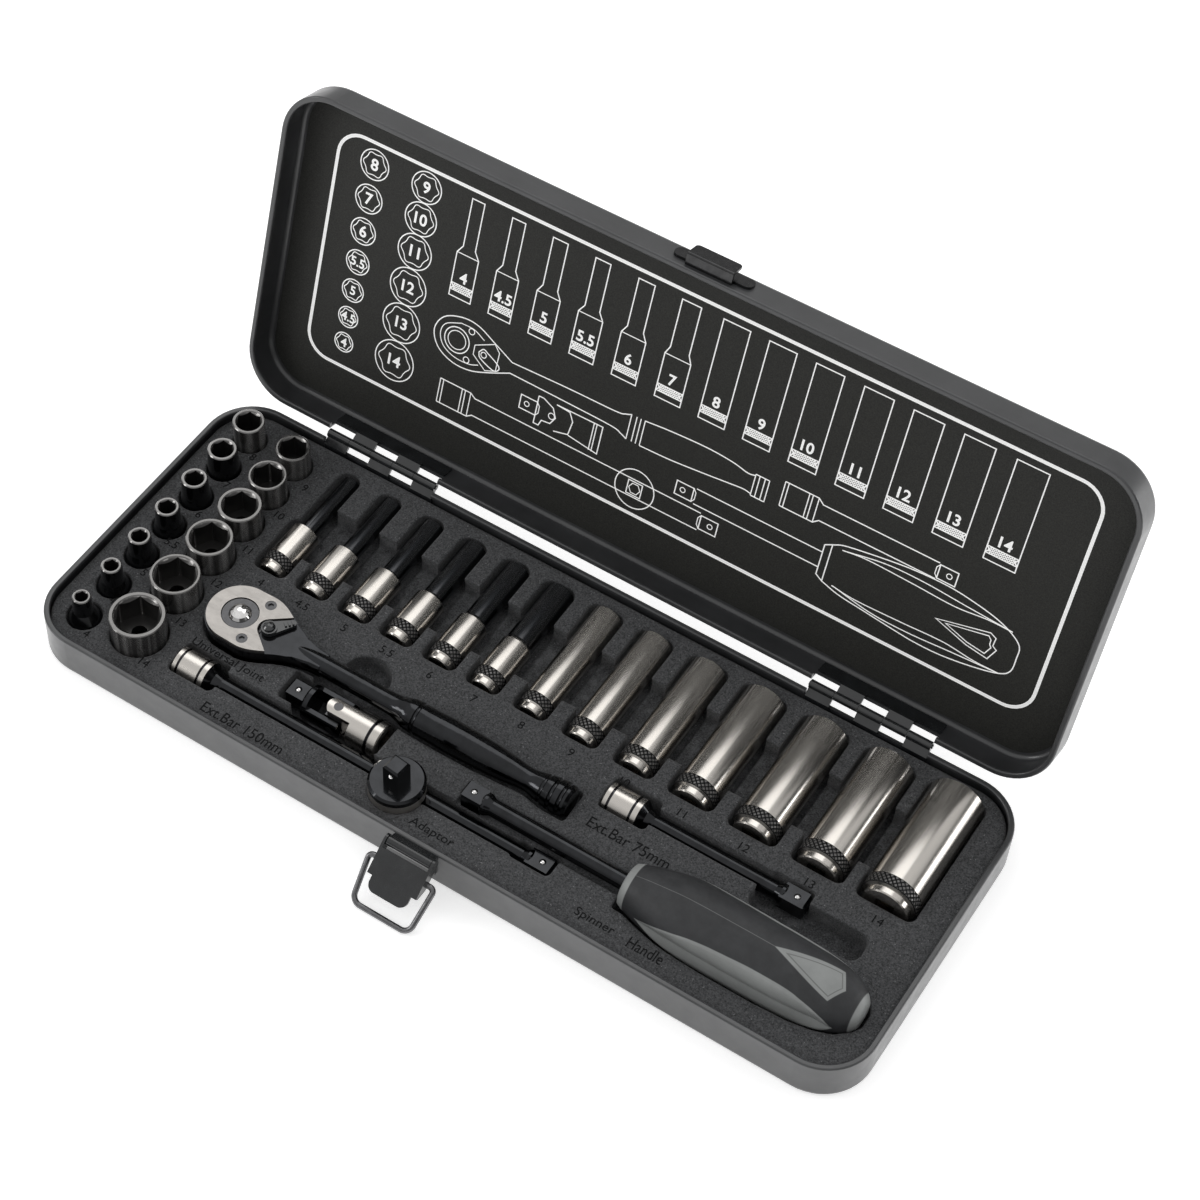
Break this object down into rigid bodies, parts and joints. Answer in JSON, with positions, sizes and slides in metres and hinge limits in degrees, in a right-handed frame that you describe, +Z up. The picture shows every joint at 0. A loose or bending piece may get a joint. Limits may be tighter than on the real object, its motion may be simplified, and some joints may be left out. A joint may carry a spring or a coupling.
{
  "type": "socket wrench set in case",
  "caption": "Quarter-inch socket wrench set lying in a foam tray in an open hinged steel case: short and deep sockets, ratchet, extension bars, universal joint, adaptor, spinner handle.",
  "frame": {"origin": "middle of the base pan's underside", "axes": "+X along the case to the right, seen from the latch side; +Y towards the hinges; +Z up"},
  "size_m": [0.32, 0.1964, 0.1414],
  "materials": {
    "case_steel": "satin black powder coat",
    "latch_black": "gloss black",
    "bail_wire": "dark plated wire",
    "foam": "matte closed-cell foam",
    "card": "matte printed card",
    "black_chrome": "black chrome",
    "satin_nickel": "satin nickel plate",
    "dark_steel": "dark steel",
    "bright_steel": "polished steel",
    "bright_chrome": "polished chrome",
    "handle_grey": "hard plastic",
    "grip_soft": "soft-touch rubber"
  },
  "bodies": {
    "base": {"base_shell": "case_steel", "foam_tray": "foam", "hinge_base_leaves": "case_steel", "hinge_pins": "bright_steel", "latch_bracket": "latch_black", "latch_lever_pin": "latch_black"},
    "lid": {"lid_shell": "case_steel", "lid_card": "card", "hinge_lid_leaves": "case_steel", "latch_keeper": "latch_black"},
    "latch_lever": {"latch_lever": "latch_black"},
    "latch_bail": {"latch_bail": "bail_wire"},
    "ratchet": {"ratchet_body": "black_chrome", "ratchet_cover_plate": "satin_nickel", "ratchet_cover_screws": "dark_steel", "ratchet_pawl": "dark_steel"},
    "ratchet_drive": {"ratchet_drive_gear": "black_chrome"},
    "ratchet_button": {"ratchet_release_button": "bright_chrome"},
    "ratchet_ball": {"ratchet_drive_ball": "bright_steel"},
    "reverse_lever": {"ratchet_reverse_lever": "black_chrome"},
    "long_bar": {"extension_bar_150mm": "black_chrome", "extension_bar_150mm_ball": "bright_steel"},
    "short_bar": {"extension_bar_75mm": "black_chrome", "extension_bar_75mm_ball": "bright_steel"},
    "adaptor": {"adaptor_disc": "black_chrome", "adaptor_ball": "bright_steel"},
    "universal_joint": {"universal_joint_socket_yoke": "satin_nickel"},
    "universal_joint_cross": {"universal_joint_cross": "black_chrome"},
    "universal_joint_drive": {"universal_joint_drive_yoke": "black_chrome", "universal_joint_ball": "bright_steel"},
    "spinner": {"spinner_shaft": "black_chrome", "spinner_core": "handle_grey", "spinner_grip": "grip_soft", "spinner_ball": "bright_steel"},
    "socket_4mm": {"socket_4mm": "satin_nickel"},
    "socket_4_5mm": {"socket_4_5mm": "satin_nickel"},
    "socket_5mm": {"socket_5mm": "satin_nickel"},
    "socket_5_5mm": {"socket_5_5mm": "satin_nickel"},
    "socket_6mm": {"socket_6mm": "satin_nickel"},
    "socket_7mm": {"socket_7mm": "satin_nickel"},
    "socket_8mm": {"socket_8mm": "satin_nickel"},
    "socket_9mm": {"socket_9mm": "satin_nickel"},
    "socket_10mm": {"socket_10mm": "satin_nickel"},
    "socket_11mm": {"socket_11mm": "satin_nickel"},
    "socket_12mm": {"socket_12mm": "satin_nickel"},
    "socket_13mm": {"socket_13mm": "satin_nickel"},
    "socket_14mm": {"socket_14mm": "satin_nickel"},
    "deep_socket_4mm": {"deep_socket_4mm": "satin_nickel"},
    "deep_socket_4_5mm": {"deep_socket_4_5mm": "satin_nickel"},
    "deep_socket_5mm": {"deep_socket_5mm": "satin_nickel"},
    "deep_socket_5_5mm": {"deep_socket_5_5mm": "satin_nickel"},
    "deep_socket_6mm": {"deep_socket_6mm": "satin_nickel"},
    "deep_socket_7mm": {"deep_socket_7mm": "satin_nickel"},
    "deep_socket_8mm": {"deep_socket_8mm": "satin_nickel"},
    "deep_socket_9mm": {"deep_socket_9mm": "satin_nickel"},
    "deep_socket_10mm": {"deep_socket_10mm": "satin_nickel"},
    "deep_socket_11mm": {"deep_socket_11mm": "satin_nickel"},
    "deep_socket_12mm": {"deep_socket_12mm": "satin_nickel"},
    "deep_socket_13mm": {"deep_socket_13mm": "satin_nickel"},
    "deep_socket_14mm": {"deep_socket_14mm": "satin_nickel"}
  },
  "joints": [
    {"name": "lid_hinge", "type": "hinge", "parent": "base", "child": "lid", "pos_m": [0, 0.0637, 0.0177], "axis": [-1, 0, 0], "range_deg": [-107.2, 0]},
    {"name": "latch_lever_pivot", "type": "hinge", "parent": "base", "child": "latch_lever", "pos_m": [0.0025, -0.0657, 0.017], "axis": [-1, 0, 0], "range_deg": [-50, 40]},
    {"name": "latch_bail_pivot", "type": "hinge", "parent": "latch_lever", "child": "latch_bail", "pos_m": [0.0025, -0.07035, 0.01223], "axis": [-1, 0, 0], "range_deg": [0, 170]},
    {"name": "socket_4mm_lift", "type": "slide", "parent": "base", "child": "socket_4mm", "axis": [0, 0, 1], "range_m": [0, 0.035]},
    {"name": "socket_4_5mm_lift", "type": "slide", "parent": "base", "child": "socket_4_5mm", "axis": [0, 0, 1], "range_m": [0, 0.035]},
    {"name": "socket_5mm_lift", "type": "slide", "parent": "base", "child": "socket_5mm", "axis": [0, 0, 1], "range_m": [0, 0.035]},
    {"name": "socket_5_5mm_lift", "type": "slide", "parent": "base", "child": "socket_5_5mm", "axis": [0, 0, 1], "range_m": [0, 0.035]},
    {"name": "socket_6mm_lift", "type": "slide", "parent": "base", "child": "socket_6mm", "axis": [0, 0, 1], "range_m": [0, 0.035]},
    {"name": "socket_7mm_lift", "type": "slide", "parent": "base", "child": "socket_7mm", "axis": [0, 0, 1], "range_m": [0, 0.035]},
    {"name": "socket_8mm_lift", "type": "slide", "parent": "base", "child": "socket_8mm", "axis": [0, 0, 1], "range_m": [0, 0.035]},
    {"name": "socket_9mm_lift", "type": "slide", "parent": "base", "child": "socket_9mm", "axis": [0, 0, 1], "range_m": [0, 0.035]},
    {"name": "socket_10mm_lift", "type": "slide", "parent": "base", "child": "socket_10mm", "axis": [0, 0, 1], "range_m": [0, 0.035]},
    {"name": "socket_11mm_lift", "type": "slide", "parent": "base", "child": "socket_11mm", "axis": [0, 0, 1], "range_m": [0, 0.035]},
    {"name": "socket_12mm_lift", "type": "slide", "parent": "base", "child": "socket_12mm", "axis": [0, 0, 1], "range_m": [0, 0.035]},
    {"name": "socket_13mm_lift", "type": "slide", "parent": "base", "child": "socket_13mm", "axis": [0, 0, 1], "range_m": [0, 0.035]},
    {"name": "socket_14mm_lift", "type": "slide", "parent": "base", "child": "socket_14mm", "axis": [0, 0, 1], "range_m": [0, 0.035]},
    {"name": "deep_socket_4mm_lift", "type": "slide", "parent": "base", "child": "deep_socket_4mm", "axis": [0, 0, 1], "range_m": [0, 0.04]},
    {"name": "deep_socket_4_5mm_lift", "type": "slide", "parent": "base", "child": "deep_socket_4_5mm", "axis": [0, 0, 1], "range_m": [0, 0.04]},
    {"name": "deep_socket_5mm_lift", "type": "slide", "parent": "base", "child": "deep_socket_5mm", "axis": [0, 0, 1], "range_m": [0, 0.04]},
    {"name": "deep_socket_5_5mm_lift", "type": "slide", "parent": "base", "child": "deep_socket_5_5mm", "axis": [0, 0, 1], "range_m": [0, 0.04]},
    {"name": "deep_socket_6mm_lift", "type": "slide", "parent": "base", "child": "deep_socket_6mm", "axis": [0, 0, 1], "range_m": [0, 0.04]},
    {"name": "deep_socket_7mm_lift", "type": "slide", "parent": "base", "child": "deep_socket_7mm", "axis": [0, 0, 1], "range_m": [0, 0.04]},
    {"name": "deep_socket_8mm_lift", "type": "slide", "parent": "base", "child": "deep_socket_8mm", "axis": [0, 0, 1], "range_m": [0, 0.04]},
    {"name": "deep_socket_9mm_lift", "type": "slide", "parent": "base", "child": "deep_socket_9mm", "axis": [0, 0, 1], "range_m": [0, 0.04]},
    {"name": "deep_socket_10mm_lift", "type": "slide", "parent": "base", "child": "deep_socket_10mm", "axis": [0, 0, 1], "range_m": [0, 0.04]},
    {"name": "deep_socket_11mm_lift", "type": "slide", "parent": "base", "child": "deep_socket_11mm", "axis": [0, 0, 1], "range_m": [0, 0.04]},
    {"name": "deep_socket_12mm_lift", "type": "slide", "parent": "base", "child": "deep_socket_12mm", "axis": [0, 0, 1], "range_m": [0, 0.04]},
    {"name": "deep_socket_13mm_lift", "type": "slide", "parent": "base", "child": "deep_socket_13mm", "axis": [0, 0, 1], "range_m": [0, 0.04]},
    {"name": "deep_socket_14mm_lift", "type": "slide", "parent": "base", "child": "deep_socket_14mm", "axis": [0, 0, 1], "range_m": [0, 0.04]},
    {"name": "ratchet_lift", "type": "slide", "parent": "base", "child": "ratchet", "axis": [0, 0, 1], "range_m": [0, 0.045]},
    {"name": "ratchet_drive_spin", "type": "hinge", "parent": "ratchet", "child": "ratchet_drive", "pos_m": [-0.0989, -0.0199, 0.014], "axis": [0, 0, 1], "continuous": true},
    {"name": "release_button_push", "type": "slide", "parent": "ratchet_drive", "child": "ratchet_button", "axis": [0, 0, 1], "range_m": [-0.0015, 0], "stiffness_N_per_m": 800},
    {"name": "ratchet_ball_slide", "type": "slide", "parent": "ratchet_drive", "child": "ratchet_ball", "axis": [-1, 0, 0], "range_m": [-0.0006, 0]},
    {"name": "reverse_lever_pivot", "type": "hinge", "parent": "ratchet", "child": "reverse_lever", "pos_m": [-0.0867, -0.0199, 0.018], "axis": [0, 0, 1], "range_deg": [-98, 0]},
    {"name": "long_bar_lift", "type": "slide", "parent": "base", "child": "long_bar", "axis": [0, 0, 1], "range_m": [0, 0.045]},
    {"name": "adaptor_lift", "type": "slide", "parent": "long_bar", "child": "adaptor", "axis": [0, 0, 1], "range_m": [0, 0.03]},
    {"name": "short_bar_lift", "type": "slide", "parent": "base", "child": "short_bar", "axis": [0, 0, 1], "range_m": [0, 0.04]},
    {"name": "universal_joint_lift", "type": "slide", "parent": "base", "child": "universal_joint", "axis": [0, 0, 1], "range_m": [0, 0.04]},
    {"name": "universal_joint_side_swing", "type": "hinge", "parent": "universal_joint", "child": "universal_joint_cross", "pos_m": [-0.05, -0.0312, 0.0095], "axis": [0, 0, 1], "range_deg": [-6, 6]},
    {"name": "universal_joint_upward_swing", "type": "hinge", "parent": "universal_joint_cross", "child": "universal_joint_drive", "pos_m": [-0.05, -0.0312, 0.0095], "axis": [0, 1, 0], "range_deg": [0, 35]},
    {"name": "spinner_lift", "type": "slide", "parent": "base", "child": "spinner", "axis": [0, 0, 1], "range_m": [0, 0.05]}
  ],
  "couplings": [
    {"joint": "ratchet_ball_slide", "follows": "release_button_push", "ratio": 0.4}
  ]
}
